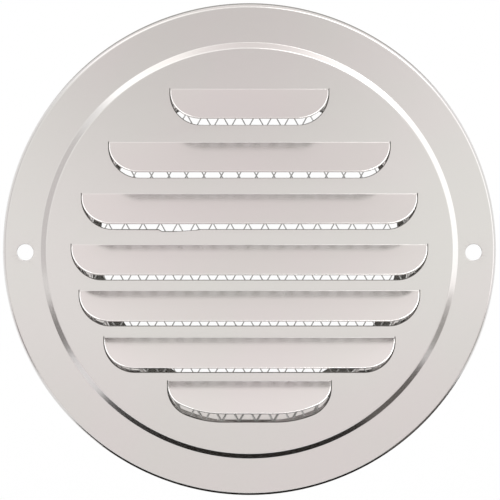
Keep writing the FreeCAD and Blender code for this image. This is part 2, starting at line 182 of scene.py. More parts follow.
class ScreenSizes(bpy.types.PropertyGroup):
    """Sizes of the woven insect screen"""

    wire: FloatProperty(
        name="Wire", description="Diameter of a wire", default=0.35 * MM, unit="LENGTH")
    mesh_width: FloatProperty(
        name="Mesh Width", description="Width of a diamond", default=5.27 * MM, unit="LENGTH")
    mesh_height: FloatProperty(
        name="Mesh Height", description="Height of a diamond", default=9.4 * MM, unit="LENGTH")
    knot: FloatVectorProperty(
        name="Knot", description="A crossing of two wires, across and up", size=2, unit="LENGTH",
        default=(2.1 * MM, -5.06 * MM))
    margin: FloatProperty(
        name="Margin", description="From the screen's edge to the collar land's",
        default=0.5 * MM, unit="LENGTH")


class FinishColours(bpy.types.PropertyGroup):
    """Colours of the steel, with painted shade on the slots' cut edges and a painted highlight on the flaps'
    rolled edges
    """

    sheet: FloatVectorProperty(
        name="Sheet", description="Bright rolled sheet", subtype="COLOR", size=3, min=0, max=1,
        default=(0.712, 0.681, 0.675))
    sheet_cool: FloatVectorProperty(
        name="Sheet Cool", description="Cooler patches of the sheet", subtype="COLOR", size=3, min=0, max=1,
        default=(0.702, 0.685, 0.67))
    # Cut edges of the slots: the duller cut steel, darkened further as painted shade along the lips.
    cut_edge_and_shade: FloatVectorProperty(
        name="Sheared", description="Sheared edges of the slots", subtype="COLOR", size=3, min=0, max=1,
        default=(0.26, 0.25, 0.235))
    # Painted highlight: a paler steel on the flaps' rolled edges, for the white lines where they catch the
    # light.
    edge_highlight: FloatVectorProperty(
        name="Painted Highlight", description="Rolled edges of the flaps", subtype="COLOR", size=3, min=0, max=1,
        default=(0.93, 0.92, 0.91))
    wire: FloatVectorProperty(
        name="Wire", description="Drawn wire", subtype="COLOR", size=3, min=0, max=1,
        default=(0.52, 0.52, 0.51))


class StudioSettings(bpy.types.PropertyGroup):
    """The camera, the lamps and the cards round the object"""

    camera_place: FloatVectorProperty(
        name="Camera Place", description="Where the camera stands", subtype="TRANSLATION", size=3,
        default=(0.18 * MM, -532.8 * MM, 40 * MM))
    camera_lens: FloatProperty(
        name="Camera Lens", description="Focal length in millimetres on a 36 mm sensor", default=126.5)
    camera_tilt: FloatProperty(
        name="Camera Tilt", description="How far the camera looks down",
        default=math.radians(4.24), subtype="ANGLE")
    floor_height: FloatProperty(
        name="Floor Height", description="Height of the floor", default=-200 * MM, unit="LENGTH")
    floor_colour: FloatVectorProperty(
        name="Floor Colour", description="Pale floor", subtype="COLOR", size=3, min=0, max=1,
        default=(0.88, 0.88, 0.88))


def open_mesh(name):
    """Starts an empty mesh at the origin, open in edit mode."""
    bpy.ops.object.select_all(action="DESELECT")
    bpy.ops.mesh.primitive_plane_add(size=SEED)
    piece = bpy.context.object
    piece.name = name
    piece.data.name = name
    bpy.ops.object.mode_set(mode="EDIT")
    bpy.ops.mesh.select_mode(type="VERT")
    bpy.ops.mesh.delete(type="VERT")
    return piece


def put_point(place):
    """Adds one point to the open mesh and selects it alone."""
    bpy.ops.mesh.select_all(action="DESELECT")
    bpy.ops.mesh.primitive_plane_add(size=SEED)
    bpy.ops.mesh.merge(type="CENTER")
    bpy.ops.transform.translate(value=place)


def pull(offset):
    """Extrudes the selection by an offset."""
    bpy.ops.mesh.extrude_region_move(TRANSFORM_OT_translate={"value": offset})


def sweep(centre, axis, angle, steps):
    """Carries the selection round an axis, right-handed; the spin operator counts the other way."""
    bpy.ops.mesh.spin(steps=steps, angle=-angle, center=centre, axis=axis)


def pick(test):
    """Selects the points of the open mesh whose place passes a test."""
    mesh = bpy.context.object.data
    points = bmesh.from_edit_mesh(mesh)
    for point in points.verts:
        point.select = test(point.co)
    points.select_flush_mode()
    bmesh.update_edit_mesh(mesh)


def merge_points():
    """Joins the points of the open mesh that lie on each other."""
    bpy.ops.mesh.select_all(action="SELECT")
    bpy.ops.mesh.remove_doubles(threshold=TOUCH)


def face_front(on_front):
    """Turns the open sheet's faces one way, so that those picked by a test look forwards."""
    bpy.ops.mesh.select_all(action="SELECT")
    bpy.ops.mesh.normals_make_consistent(inside=False)
    faces = bmesh.from_edit_mesh(bpy.context.object.data).faces
    sample = next(face for face in faces if on_front(face.calc_center_median()))
    if sample.normal.dot(FRONT) < 0:
        bpy.ops.mesh.flip_normals()


def apply_modifier(piece, kind, **settings):
    """Adds a modifier with its settings and applies it."""
    modifier = piece.modifiers.new(kind.title(), kind)
    for name, value in settings.items():
        setattr(modifier, name, value)
    bpy.ops.object.modifier_apply(modifier=modifier.name)


def thicken(piece, gauge):
    """Gives an open front skin its gauge and closes edit mode."""
    bpy.ops.object.mode_set(mode="OBJECT")
    apply_modifier(piece, "SOLIDIFY", thickness=gauge, offset=-1, use_even_offset=True)


def round_edges(lies_there, width):
    """Rounds the sharp edges of the open mesh whose two ends pass a test."""
    bpy.ops.mesh.select_mode(type="EDGE")
    bpy.ops.mesh.select_all(action="DESELECT")
    mesh = bpy.context.object.data
    sheet = bmesh.from_edit_mesh(mesh)
    for edge in sheet.edges:
        sharp = edge.calc_face_angle() > SHARP and edge.calc_length() > width
        edge.select_set(sharp and all(lies_there(end.co) for end in edge.verts))
    bmesh.update_edit_mesh(mesh)
    bpy.ops.mesh.bevel(offset=width, segments=EASE_STEPS, clamp_overlap=True)
    bpy.ops.mesh.select_mode(type="VERT")


def shade(piece):
    """Shades a closed sheet smooth between its sharp edges, and closes edit mode."""
    bpy.ops.object.mode_set(mode="OBJECT")
    bpy.ops.object.shade_smooth_by_angle(angle=SHARP)
    apply_modifier(piece, "WEIGHTED_NORMAL", keep_sharp=True)


def hand_over(piece, node, material):
    """Puts a finished piece in the place of its CAD node."""
    piece.data.materials.append(material)
    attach(piece, BODY)
    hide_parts(node)


class Plane:
    """A plane to draw on, with its own across and up."""

    def __init__(self, origin, up):
        self.origin = Vector(origin)
        self.up = Vector(up)
        self.normal = ACROSS.cross(self.up)

    def place(self, point):
        return self.origin + ACROSS * point[0] + self.up * point[1]

    def offset(self, place):
        return (place - self.origin).dot(self.normal)

    def holds(self, place):
        return abs(self.offset(place)) < TOUCH

    def height(self, place):
        return (place - self.origin).dot(self.up)


def line(point):
    """A step of an outline: straight to a point."""
    return ("line", point, 0.0, 1)


def arc(centre, angle, steps):
    """A step of an outline: round a centre, anticlockwise as seen from the front."""
    return ("arc", centre, angle, steps)


def trace(plane, start, outline):
    """Draws an outline on a plane from the selected point, which lies at start."""
    here = plane.place(start)
    for kind, point, angle, steps in outline:
        there = plane.place(point)
        if kind == "line":
            pull(there - here)
        else:
            sweep(there, plane.normal, angle, steps)
        here = picked_place()


def picked_place():
    """Where the one selected point of the open mesh is."""
    points = bmesh.from_edit_mesh(bpy.context.object.data)
    return next(point.co.copy() for point in points.verts if point.select)


CORNER_STEPS = 20
BOWL_STEPS = 16
QUARTER = math.pi / 2


def tongue(half, top, low, corner, lip=()):
    """Sides and lower edge of a flap or its slot, clockwise from the upper right."""
    turn = low + corner
    inset = half - corner
    return [
        line((half, turn)),
        arc((inset, turn), -QUARTER, CORNER_STEPS),
        *lip,
        line((-inset, low)),
        arc((-inset, turn), -QUARTER, CORNER_STEPS),
        line((-half, top)),
    ]


def bowl(half, top, low, corner, half_flat, radius):
    """Sides, wide curves and flat of the lowest flap or its slot, clockwise from the upper right."""
    inset = half - corner
    middle = low + radius
    turn = middle - math.sqrt((radius - corner) ** 2 - (inset - half_flat) ** 2)
    lean = math.atan2(turn - middle, inset - half_flat)
    rest = -QUARTER - lean
    return [
        line((half, turn)),
        arc((inset, turn), lean, CORNER_STEPS),
        arc((half_flat, middle), rest, BOWL_STEPS),
        line((-half_flat, low)),
        arc((-half_flat, middle), rest, BOWL_STEPS),
        arc((-inset, turn), lean, CORNER_STEPS),
        line((-half, top)),
    ]


def dented_lip(louvres, low):
    """The dent in a slot's lower edge, from right to left."""
    left = louvres.dent_centre - louvres.dent_width / 2
    right = louvres.dent_centre + louvres.dent_width / 2
    deep = low - louvres.dent_depth
    return [
        line((right, low)),
        line((right - louvres.dent_slope, low - louvres.dent_heel)),
        line((louvres.dent_centre, deep)),
        line((left + louvres.dent_slope, deep)),
        line((left, low)),
    ]


def bend_heights(louvres):
    """Heights of the bend lines, from the top."""
    heights = [louvres.bowl_height - louvres.field_foot]
    for pitch in reversed(louvres.pitches):
        heights.insert(0, heights[0] + pitch)
    return heights


RING_STEPS = 288
BEND_STEPS = 8
HOLE_STEPS = 64
FULL_TURN = 2 * math.pi


def draw_rim(plate):
    """Draws the section of the turned-back rim; gives the radius where the flange starts."""
    edge = plate.diameter / 2
    turn = QUARTER - plate.rim_flare
    corner = Vector((edge - plate.rim_depth * math.tan(plate.rim_flare), -plate.rim_depth, 0))
    setback = plate.rim_bend * math.tan(turn / 2)
    along_rim = Vector((math.sin(plate.rim_flare), math.cos(plate.rim_flare), 0))
    rear = Vector((edge, 0, 0))
    flange_edge = corner - ACROSS * setback
    put_point(rear)
    pull(corner + along_rim * setback - rear)
    sweep(flange_edge + INTO_DUCT * plate.rim_bend, UPWARDS, -turn, BEND_STEPS)
    return flange_edge.x


def draw_step(plate):
    """Draws the section of the raised panel's step; gives the radii of its foot and top."""
    turn = math.atan2(plate.step_rise, plate.step_run)
    slope = Vector((-math.cos(turn), -math.sin(turn), 0))
    top = Vector((plate.step_diameter / 2, -plate.rim_depth - plate.step_rise, 0))
    foot = Vector((top.x + plate.step_run, -plate.rim_depth, 0))
    top_bend = plate.step_bend + plate.gauge
    foot_setback = plate.step_bend * math.tan(turn / 2)
    top_setback = top_bend * math.tan(turn / 2)
    foot_start = foot + ACROSS * foot_setback
    top_end = top - ACROSS * top_setback
    put_point(foot_start)
    sweep(foot_start + FRONT * plate.step_bend, UPWARDS, turn, BEND_STEPS)
    pull((top - slope * top_setback) - (foot + slope * foot_setback))
    sweep(top_end + INTO_DUCT * top_bend, UPWARDS, -turn, BEND_STEPS)
    return foot_start.x, top_end.x


def radius_of(place):
    """Distance of a place from the duct's axis."""
    return math.hypot(place.x, place.z)


def fill_flat(depth, inside, outside):
    """Fills the flat ring or disc between two radii, round the outlines that lie in it."""
    def lies_there(place):
        level = abs(place.y - depth) < TOUCH
        return level and inside - TOUCH < radius_of(place) < outside + TOUCH
    pick(lies_there)
    bpy.ops.mesh.fill(use_beauty=True)


def draw_slots(louvres, depth):
    """Draws the outlines of the seven slots on the panel."""
    plane = Plane((0, depth, 0), UPWARDS)
    heights = bend_heights(louvres)
    for row, (top, half) in enumerate(zip(heights, louvres.half_widths), 1):
        start = (-half, top)
        hinge = half - louvres.side_gap
        if row == len(heights):
            low = top - louvres.bowl_height
            sides = bowl(half, top, low, louvres.bowl_corner, louvres.bowl_flat / 2, louvres.bowl_radius)
        else:
            low = top - louvres.slot_height
            lip = dented_lip(louvres, low) if row == louvres.dent_row else ()
            sides = tongue(half, top, low, louvres.slot_corner, lip)
        put_point(plane.place(start))
        trace(plane, start, [line((-hinge, top)), line((hinge, top)), line((half, top))] + sides)
    merge_points()


FLAP_REACH = 13 * MM
QUAD = 4
TURNED = math.cos(math.radians(60))
SIDEWAYS = 0.06


def flap_plane(louvres, depth, top):
    """The plane of a bent flap's front, with its origin where the bend ends."""
    up = Vector((0, math.sin(louvres.angle), math.cos(louvres.angle)))
    axis_place = Vector((0, depth - louvres.bend, top))
    return Plane(axis_place - ACROSS.cross(up) * louvres.bend, up)


def on_flap(planes, place, gauge):
    """Tells whether a place lies in a flap, at or below the end of its bend."""
    for plane in planes:
        behind = -plane.offset(place)
        if -TOUCH < behind < gauge + TOUCH and -FLAP_REACH < plane.height(place) < TOUCH:
            return True
    return False


def roll_flap_edges(louvres, planes, gauge):
    """Turns the front edges of the flaps back a little, as the punch leaves them."""
    bpy.ops.mesh.select_mode(type="FACE")
    bpy.ops.mesh.select_all(action="DESELECT")
    mesh = bpy.context.object.data
    sheet = bmesh.from_edit_mesh(mesh)
    for face in sheet.faces:
        flat = any(all(plane.holds(corner.co) for corner in face.verts) for plane in planes)
        face.select_set(flat and len(face.verts) > QUAD)
    bmesh.update_edit_mesh(mesh)
    bpy.ops.mesh.inset(thickness=louvres.roll_width, depth=0)

    bpy.ops.mesh.select_mode(type="VERT")
    bpy.ops.mesh.select_all(action="DESELECT")
    sheet = bmesh.from_edit_mesh(mesh)
    for plane in planes:
        for point in sheet.verts:
            below_bend = plane.holds(point.co) and -FLAP_REACH < plane.height(point.co) < -TOUCH
            if below_bend:
                far_ends = [edge.other_vert(point).co for edge in point.link_edges]
                point.select_set(any(plane.offset(end) < -gauge / 2 for end in far_ends))
    bmesh.update_edit_mesh(mesh)
    bpy.ops.transform.translate(value=-planes[0].normal * louvres.roll_depth)


def bend_out_flap(louvres, depth, gauge, top, half, lowest):
    """Bends one flap out of the panel's front skin and draws its flat."""
    hinge = half - louvres.side_gap
    axis_place = Vector((0, depth - louvres.bend, top))

    def on_hinge(place):
        level = abs(place.y - depth) < TOUCH and abs(place.z - top) < TOUCH
        return level and abs(abs(place.x) - hinge) < TOUCH
    pick(on_hinge)
    sweep(axis_place, ACROSS, -louvres.angle, BEND_STEPS)

    plane = flap_plane(louvres, depth, top)
    bend_length = (louvres.bend + gauge / 2) * louvres.angle
    if lowest:
        low = bend_length + louvres.bowl_trim - louvres.bowl_height
        radius = louvres.bowl_radius - louvres.bowl_trim
        corner = louvres.bowl_corner - louvres.bowl_trim
        sides = bowl(hinge, 0, low, corner, louvres.bowl_flat / 2, radius)
    else:
        low = bend_length + louvres.end_gap - louvres.slot_height
        sides = tongue(hinge, 0, low, louvres.slot_corner - louvres.side_gap)
    root = plane.place((hinge, 0))
    pick(lambda place: (place - root).length < TOUCH)
    trace(plane, (hinge, 0), sides)
    merge_points()
    pick(lambda place: plane.holds(place) and low - TOUCH < plane.height(place) < TOUCH)
    bpy.ops.mesh.edge_face_add()


def is_sheared(face, depth, gauge, reach):
    """Tells whether a face is a slot's cut face: within the panel's gauge, and not looking back."""
    middle = face.calc_center_median()
    inside = depth + TOUCH < middle.y < depth + gauge - TOUCH
    return inside and radius_of(middle) < reach - gauge and face.normal.y < TURNED


def is_rolled(face, planes, roll_depth):
    """Tells whether a face belongs to the die roll at a flap's sides and corners."""
    if abs(face.normal.x) < SIDEWAYS:
        return False
    middle = face.calc_center_median()
    for plane in planes:
        turned_back = -roll_depth - TOUCH < plane.offset(middle) < -TOUCH
        beside_flap = -FLAP_REACH < plane.height(middle) < TOUCH
        if turned_back and beside_flap and face.normal.dot(plane.normal) > TURNED:
            return True
    return False


def paint_faces(number, belongs):
    """Gives the faces that pass a test one of the active piece's further materials."""
    bpy.ops.object.mode_set(mode="EDIT")
    bpy.ops.mesh.select_mode(type="FACE")
    mesh = bpy.context.object.data
    sheet = bmesh.from_edit_mesh(mesh)
    for face in sheet.faces:
        face.select = belongs(face)
    bmesh.update_edit_mesh(mesh)
    bpy.context.object.active_material_index = number
    bpy.ops.object.material_slot_assign()
    bpy.ops.object.mode_set(mode="OBJECT")


class VENT_OT_faceplate(bpy.types.Operator):
    """Press the round plate and bend its seven louvres out of the sheet"""

    bl_idname = "vent.faceplate"
    bl_label = "Faceplate"

    def execute(self, context):
        plate = context.scene.vent_faceplate
        louvres = context.scene.vent_louvres
        flange_depth = -plate.rim_depth
        panel_depth = flange_depth - plate.step_rise
        piece = open_mesh("louvred_faceplate")
        flange_edge = draw_rim(plate)
        step_foot, step_top = draw_step(plate)
        bpy.ops.mesh.select_all(action="SELECT")
        sweep((0, 0, 0), INTO_DUCT, FULL_TURN, RING_STEPS)
        merge_points()
        draw_slots(louvres, panel_depth)
        fill_flat(panel_depth, 0, step_top)
        screw_place = plate.diameter / 2 - plate.screw_margin
        for side in (-1, 1):
            bpy.ops.mesh.select_all(action="DESELECT")
            bpy.ops.mesh.primitive_circle_add(
                vertices=HOLE_STEPS, radius=plate.screw_hole / 2,
                location=(side * screw_place, flange_depth, 0), rotation=(QUARTER, 0, 0))
        fill_flat(flange_depth, step_foot, flange_edge)
        heights = bend_heights(louvres)
        for top, half in zip(heights, louvres.half_widths):
            bend_out_flap(louvres, panel_depth, plate.gauge, top, half, top == heights[-1])
        face_front(lambda place: abs(place.y - flange_depth) < TOUCH)
        thicken(piece, plate.gauge)
        bpy.ops.object.mode_set(mode="EDIT")
        planes = [flap_plane(louvres, panel_depth, top) for top in heights]
        roll_flap_edges(louvres, planes, plate.gauge)
        round_edges(lambda place: on_flap(planes, place, plate.gauge), plate.edge_ease)
        round_edges(lambda place: abs(place.y - panel_depth) < TOUCH, plate.lip_ease)
        round_edges(lambda place: radius_of(place) > step_foot, plate.edge_ease)
        shade(piece)
        colours = context.scene.vent_colours
        sheet = rolled_steel("faceplate_sheet", colours.sheet, colours.sheet_cool)
        hand_over(piece, "faceplate", sheet)
        piece.data.materials.append(plain_steel("cut_edge_painted_shade", colours.cut_edge_and_shade))
        piece.data.materials.append(plain_steel("painted_edge_highlight", colours.edge_highlight))
        # Painted shade: the slots' cut faces take a dark steel, darker than the cut steel's own dull tone,
        # for the shade along the lips.
        paint_faces(1, lambda face: is_sheared(face, panel_depth, plate.gauge, step_top))
        # Painted highlight: the die roll along the flaps' edges takes a paler steel, for the white lines that
        # catch the light.
        paint_faces(2, lambda face: is_rolled(face, planes, louvres.roll_depth))
        return {"FINISHED"}


def land_depth(context):
    """Depth of the collar land's front, on which the screen lies."""
    plate = context.scene.vent_faceplate
    wire = context.scene.vent_screen.wire
    return -plate.rim_depth - plate.step_rise + plate.gauge + 2 * wire


def land_edge(context):
    """Radius of the collar land's edge."""
    collar = context.scene.vent_collar
    return collar.diameter / 2 + collar.floor_width + collar.land_width


class VENT_OT_collar(bpy.types.Operator):
    """Spin the collar's front skin: tube, floor, step and land"""

    bl_idname = "vent.collar"
    bl_label = "Duct Collar"

    def execute(self, context):
        collar = context.scene.vent_collar
        land = land_depth(context)
        floor = land + collar.step_depth
        inside = collar.diameter / 2 - collar.gauge
        seat = collar.diameter / 2 + collar.floor_width
        mouth = Vector((inside + collar.mouth_bend, floor + collar.mouth_bend, 0))
        section = [
            Vector((inside + collar.mouth_bend, floor, 0)),
            Vector((seat - collar.step_run, floor, 0)),
            Vector((seat, land, 0)),
            Vector((land_edge(context), land, 0)),
        ]
        piece = open_mesh("spun_collar")
        put_point((inside, collar.reach, 0))
        pull((0, mouth.y - collar.reach, 0))
        sweep(mouth, UPWARDS, QUARTER, BEND_STEPS)
        for here, there in zip(section, section[1:]):
            pull(there - here)
        bpy.ops.mesh.select_all(action="SELECT")
        sweep((0, 0, 0), INTO_DUCT, FULL_TURN, RING_STEPS)
        merge_points()
        face_front(lambda place: abs(place.y - land) < TOUCH)
        thicken(piece, collar.gauge)
        bpy.ops.object.mode_set(mode="EDIT")
        round_edges(lambda place: True, collar.edge_ease)
        shade(piece)
        colours = context.scene.vent_colours
        sheet = rolled_steel("collar_sheet", colours.sheet, colours.sheet_cool)
        hand_over(piece, "duct_collar", sheet)
        return {"FINISHED"}


WIRE_SIDES = 8
CRIMP_STEPS = 4
SPARE_CROSSINGS = 2
WIRE_SHARP = math.radians(50)


def draw_wire(screen, spacing, crossings):
    """Draws one upright wire, crimped so that it passes in front at every second crossing."""
    bpy.ops.object.select_all(action="DESELECT")
    bpy.ops.mesh.primitive_circle_add(vertices=WIRE_SIDES, radius=screen.wire / 2, fill_type="NGON")
    wire = bpy.context.object
    bpy.ops.object.mode_set(mode="EDIT")
    bpy.ops.mesh.select_mode(type="VERT")
    bpy.ops.mesh.select_all(action="SELECT")

    def crimped(step):
        crossing = step / CRIMP_STEPS
        return Vector((0, -screen.wire / 2 * math.cos(math.pi * crossing), spacing * crossing))
    first = -crossings * CRIMP_STEPS
    here = crimped(first)
    bpy.ops.transform.translate(value=here)
    for step in range(first + 1, -first + 1):
        there = crimped(step)
        pull(there - here)
        here = there
    bpy.ops.mesh.select_all(action="SELECT")
    bpy.ops.mesh.normals_make_consistent(inside=False)
    bpy.ops.object.mode_set(mode="OBJECT")
    return wire


def lay_wire(wire, knot, lean, front, reach):
    """Lays a copy of the wire through a knot, and trims it to the screen's round edge."""
    along = Vector((math.sin(lean), 0, math.cos(lean)))
    foot = knot - along * knot.dot(along)
    foot.y = 0
    half_chord = math.sqrt(reach ** 2 - foot.length ** 2)
    bpy.ops.object.select_all(action="DESELECT")
    wire.select_set(True)
    bpy.context.view_layer.objects.active = wire
    bpy.ops.object.duplicate()
    copy = bpy.context.object
    copy.scale.y = front
    copy.rotation_euler.y = lean
    copy.location = knot
    bpy.ops.object.transform_apply(location=True, rotation=True, scale=True)
    bpy.ops.object.mode_set(mode="EDIT")
    for end in (-1, 1):
        bpy.ops.mesh.select_all(action="SELECT")
        bpy.ops.mesh.bisect(
            plane_co=foot + along * end * half_chord, plane_no=along * end,
            use_fill=True, clear_outer=True)
    bpy.ops.mesh.select_all(action="SELECT")
    bpy.ops.mesh.normals_make_consistent(inside=False)
    bpy.ops.object.mode_set(mode="OBJECT")
    return copy


class VENT_OT_screen(bpy.types.Operator):
    """Weave the insect screen from crimped wires"""

    bl_idname = "vent.screen"
    bl_label = "Insect Screen"

    def execute(self, context):
        screen = context.scene.vent_screen
        reach = land_edge(context) - screen.margin
        lean = math.atan2(screen.mesh_width, screen.mesh_height)
        spacing = math.hypot(screen.mesh_width, screen.mesh_height) / 2
        crossings = math.ceil(reach / spacing) + SPARE_CROSSINGS
        apart = screen.mesh_width * math.cos(lean)
        middle = land_depth(context) - screen.wire
        wire = draw_wire(screen, spacing, crossings)
        copies = []
        for sign in (1, -1):
            offset = screen.knot[0] * math.cos(lean) - sign * screen.knot[1] * math.sin(lean)
            first = math.ceil((-reach - offset) / apart)
            last = math.floor((reach - offset) / apart)
            for number in range(first, last + 1):
                knot = Vector((screen.knot[0] + number * screen.mesh_width, middle, screen.knot[1]))
                copies.append(lay_wire(wire, knot, sign * lean, sign, reach))
        bpy.data.objects.remove(wire)
        bpy.ops.object.select_all(action="DESELECT")
        for copy in copies:
            copy.select_set(True)
        context.view_layer.objects.active = copies[0]
        bpy.ops.object.join()
        piece = context.object
        piece.name = "woven_screen"
        piece.data.name = "woven_screen"
        bpy.ops.object.shade_smooth_by_angle(angle=WIRE_SHARP)
        colour = context.scene.vent_colours.wire
        hand_over(piece, "insect_screen", plain_steel("drawn_wire", colour))
        return {"FINISHED"}


PATCH_SCALE = 28.0
PATCH_DETAIL = 3.0
PATCH_RANGE = (0.4, 0.6)
GRAIN_STRETCH = (60, 900, 900)
GRAIN_SCALE = 4.0
GRAIN_DETAIL = 4.0
GRAIN_STRENGTH = 0.04
GRAIN_DEPTH = 0.02 * MM
SHEET_ROUGHNESS = (0.16, 0.22)
PLAIN_ROUGHNESS = 0.25
FIRST_BOUNCE = 1.5


def new_material(name):
    """Starts a material; gives it with its nodes and links."""
    material = bpy.data.materials.new(name)
    material.use_nodes = True
    return material, material.node_tree.nodes, material.node_tree.links


def add_math(nodes, operation):
    """Adds a Math node of one kind."""
    node = nodes.new("ShaderNodeMath")
    node.operation = operation
    return node


def add_noise(nodes, scale, detail):
    """Adds a noise of some fineness."""
    noise = nodes.new("ShaderNodeTexNoise")
    noise.inputs["Scale"].default_value = scale
    noise.inputs["Detail"].default_value = detail
    return noise


def add_range(nodes, end, limits):
    """Adds a Map Range node with one of its ranges, From or To, set."""
    node = nodes.new("ShaderNodeMapRange")
    node.inputs[end + " Min"].default_value, node.inputs[end + " Max"].default_value = limits
    return node


def add_blend(nodes, first, second):
    """Adds a blend of two colours."""
    blend = nodes.new("ShaderNodeMix")
    blend.data_type = "RGBA"
    blend.inputs["A"].default_value = (*first, 1)
    blend.inputs["B"].default_value = (*second, 1)
    return blend


def rolled_steel(name, colour, cool):
    """Bright rolled stainless: faint cool patches, a fine grain along the sheet, and a soft gloss."""
    material, nodes, links = new_material(name)
    shader = nodes["Principled BSDF"]
    shader.inputs["Metallic"].default_value = 1.0
    places = nodes.new("ShaderNodeTexCoord")

    patches = add_noise(nodes, PATCH_SCALE, PATCH_DETAIL)
    contrast = add_range(nodes, "From", PATCH_RANGE)
    blend = add_blend(nodes, colour, cool)
    links.new(places.outputs["Object"], patches.inputs["Vector"])
    links.new(patches.outputs["Fac"], contrast.inputs["Value"])
    links.new(contrast.outputs["Result"], blend.inputs["Factor"])
    links.new(blend.outputs["Result"], shader.inputs["Base Color"])

    stretch = nodes.new("ShaderNodeMapping")
    stretch.inputs["Scale"].default_value = GRAIN_STRETCH
    grain = add_noise(nodes, GRAIN_SCALE, GRAIN_DETAIL)
    gloss = add_range(nodes, "To", SHEET_ROUGHNESS)
    links.new(places.outputs["Object"], stretch.inputs["Vector"])
    links.new(stretch.outputs["Vector"], grain.inputs["Vector"])
    links.new(grain.outputs["Fac"], gloss.inputs["Value"])
    links.new(gloss.outputs["Result"], shader.inputs["Roughness"])

    bump = nodes.new("ShaderNodeBump")
    bump.inputs["Strength"].default_value = GRAIN_STRENGTH
    bump.inputs["Distance"].default_value = GRAIN_DEPTH
    links.new(grain.outputs["Fac"], bump.inputs["Height"])
    links.new(bump.outputs["Normal"], shader.inputs["Normal"])
    return material


def plain_steel(name, colour):
    """Steel of one colour, for the drawn wire, for the slots' cut edges darkened as painted shade, and for
    the flaps' rolled edges lightened as a painted highlight.
    """
    material, nodes, _ = new_material(name)
    shader = nodes["Principled BSDF"]
    shader.inputs["Base Color"].default_value = (*colour, 1)
    shader.inputs["Metallic"].default_value = 1.0
    shader.inputs["Roughness"].default_value = PLAIN_ROUGHNESS
    return material


def floor_paint(colour, lift):
    """Matt paint that a little light of its own, for the camera and in reflections, lifts to white."""
    material, nodes, links = new_material("pale_floor")
    shader = nodes["Principled BSDF"]
    shader.inputs["Base Color"].default_value = (*colour, 1)
    shader.inputs["Roughness"].default_value = 1.0
    shader.inputs["Specular IOR Level"].default_value = 0.0
    shader.inputs["Emission Color"].default_value = (1, 1, 1, 1)
    path = nodes.new("ShaderNodeLightPath")
    seen = add_math(nodes, "ADD")
    links.new(path.outputs["Is Camera Ray"], seen.inputs[0])
    links.new(path.outputs["Is Glossy Ray"], seen.inputs[1])
    through = add_math(nodes, "ADD")
    through.use_clamp = True
    links.new(seen.outputs["Value"], through.inputs[0])
    links.new(path.outputs["Is Transmission Ray"], through.inputs[1])
    strength = add_math(nodes, "MULTIPLY")
    strength.inputs[1].default_value = lift
    links.new(through.outputs["Value"], strength.inputs[0])
    links.new(strength.outputs["Value"], shader.inputs["Emission Strength"])
    return material


def flag_paint(name, colour):
    """Even tone of a flag, the same from every side."""
    material, nodes, links = new_material(name)
    glow = nodes.new("ShaderNodeEmission")
    glow.inputs["Color"].default_value = (*colour, 1)
    links.new(glow.outputs["Emission"], nodes["Material Output"].inputs["Surface"])
    return material


def first_bounce_paint(name, colour):
    """Tone of a flag that the first reflection shows and later ones look through."""
    material = flag_paint(name, colour)
    nodes = material.node_tree.nodes
    links = material.node_tree.links
    path = nodes.new("ShaderNodeLightPath")
    later = add_math(nodes, "GREATER_THAN")
    later.inputs[1].default_value = FIRST_BOUNCE
    links.new(path.outputs["Glossy Depth"], later.inputs[0])
    clear = nodes.new("ShaderNodeBsdfTransparent")
    choice = nodes.new("ShaderNodeMixShader")
    links.new(later.outputs["Value"], choice.inputs["Fac"])
    links.new(nodes["Emission"].outputs["Emission"], choice.inputs[1])
    links.new(clear.outputs["BSDF"], choice.inputs[2])
    links.new(choice.outputs["Shader"], nodes["Material Output"].inputs["Surface"])
    return material


def spot_paint(name, centre, reach, dark, light):
    """Light of a bounce card that is dimmer near one place, such as where the camera stands in the way."""
    material, nodes, links = new_material(name)
    places = nodes.new("ShaderNodeTexCoord")
    distance = nodes.new("ShaderNodeVectorMath")
    distance.operation = "DISTANCE"
    distance.inputs[1].default_value = centre
    fade = add_range(nodes, "From", reach)
    fade.interpolation_type = "SMOOTHSTEP"
    blend = add_blend(nodes, dark, light)
    glow = nodes.new("ShaderNodeEmission")
    links.new(places.outputs["Object"], distance.inputs[0])
    links.new(distance.outputs["Value"], fade.inputs["Value"])
    links.new(fade.outputs["Result"], blend.inputs["Factor"])
    links.new(blend.outputs["Result"], glow.inputs["Color"])
    links.new(glow.outputs["Emission"], nodes["Material Output"].inputs["Surface"])
    return material


FLOOR_SPAN = (8, 8)
FLOOR_LIFT = 0.12
OFF_FLOOR = 1 * MM
LAMP_DISTANCE = 0.75
SENSOR_WIDTH = 36
NEAREST_SEEN = 10 * MM
FLAG_TONES = {
    "black_flag": (0.015, 0.013, 0.011),
    "dark_flag": (0.15, 0.14, 0.13),
    "grey_flag": (0.4, 0.39, 0.37),
    "low_grey_flag": (0.26, 0.25, 0.24),
    "pale_flag": (0.76, 0.74, 0.73),
}
WALL_TONE = (0.02, 0.018, 0.012)

# Flags on the floor: name, place across and into the duct, size, tone.
FLOOR_FLAGS = (
    ("flag_below", (-0.03, -0.045), (0.31, 0.15), "black_flag"),
    ("flag_beneath", (0.08, 0.13), (0.44, 0.2), "black_flag"),
    ("flag_low_right", (0.2, -0.085), (0.15, 0.23), "dark_flag"),
    ("flag_left", (-0.45, -0.23), (0.28, 0.3), "low_grey_flag"),
    ("flag_right", (0.47, -0.23), (0.3, 0.3), "grey_flag"),
)
# Standing flags: name, place, size, facing, tone.
STANDING_FLAGS = (
    ("flag_side", (-0.62, -0.39, 0.12), (0.3, 0.5), (0.62, 0.39, -0.12), "pale_flag"),
    ("flag_behind", (0, 0.75, 0.6), (0.9, 0.8), FRONT, "grey_flag"),
)
